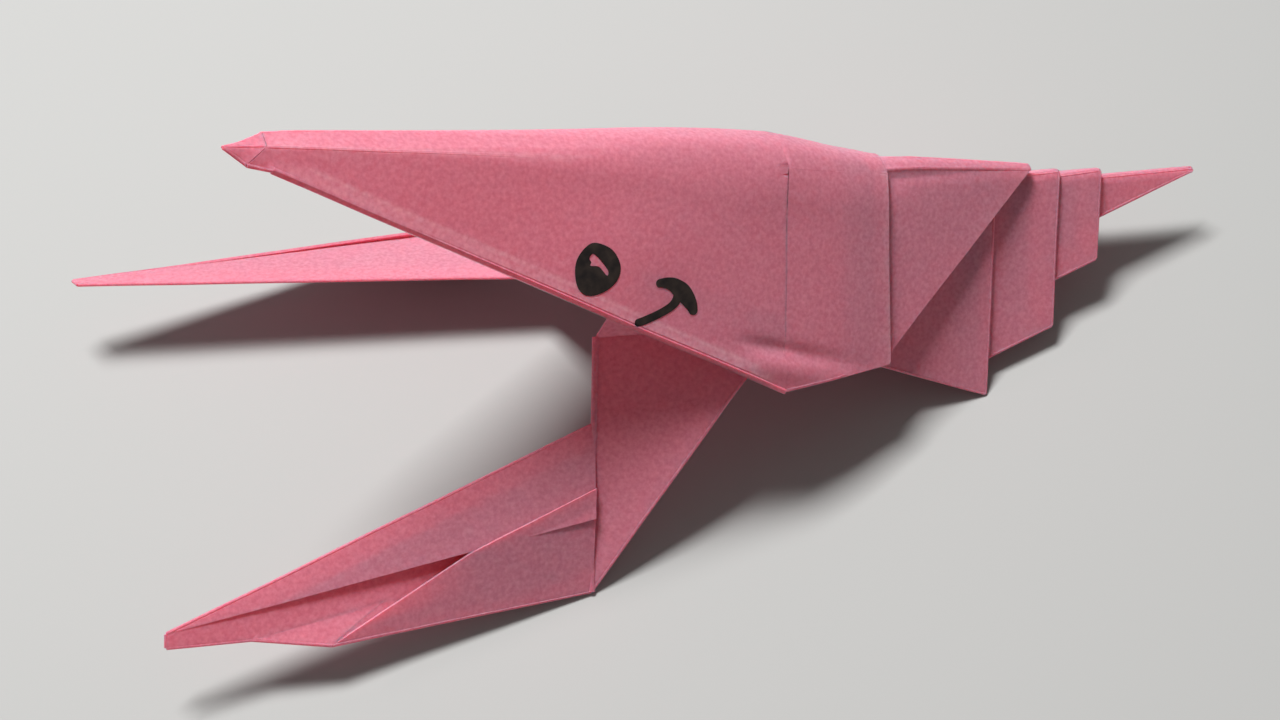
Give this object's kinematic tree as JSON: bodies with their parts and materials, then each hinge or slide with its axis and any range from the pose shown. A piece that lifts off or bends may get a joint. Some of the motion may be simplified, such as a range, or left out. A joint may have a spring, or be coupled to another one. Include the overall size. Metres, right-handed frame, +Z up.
{
  "type": "origami lobster",
  "caption": "Lobster folded from one square of paper: a pointed tent-shaped head, a flap over a pleated tail that ends in a point, and claws on bent arms, with a drawn eye and smile.",
  "frame": {"origin": "on the floor, under the middle of the length, in the middle plane of the head and tail", "axes": "+X from the nose to the tail, +Y to the side away from the drawn face, +Z up"},
  "size_m": [0.1569, 0.0653, 0.0649],
  "materials": {
    "pink_paper": "matt, slightly fibrous craft paper"
  },
  "bodies": {
    "root": {"folded_sheet": "pink_paper"}
  },
  "joints": []
}
